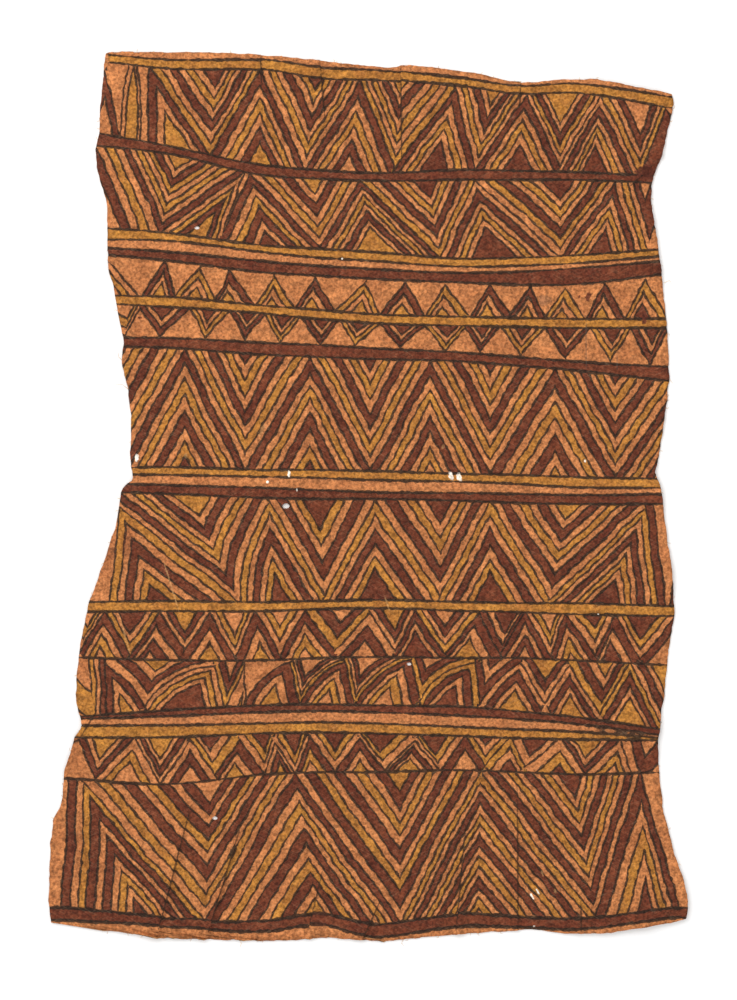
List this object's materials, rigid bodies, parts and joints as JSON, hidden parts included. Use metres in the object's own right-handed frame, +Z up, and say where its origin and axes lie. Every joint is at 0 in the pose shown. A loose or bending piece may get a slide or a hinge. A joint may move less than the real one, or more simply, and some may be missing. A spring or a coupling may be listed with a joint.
{
  "type": "painted tapa bark cloth",
  "caption": "Flat sheet of beaten bark cloth with a ragged outline, old fold lines and small tucks, painted with bands of nested zigzags and stripes.",
  "frame": {"origin": "the ground under the middle of the sheet's box", "axes": "+Z up out of the painted face, +Y along the sheet's length towards its narrower end, +X across it"},
  "size_m": [0.7026, 0.977, 0.0078],
  "materials": {
    "painted_bark": "matt beaten bark, earth paints in brown and ochre with dark lines"
  },
  "bodies": {
    "root": {"bark_cloth": "painted_bark"}
  },
  "joints": []
}
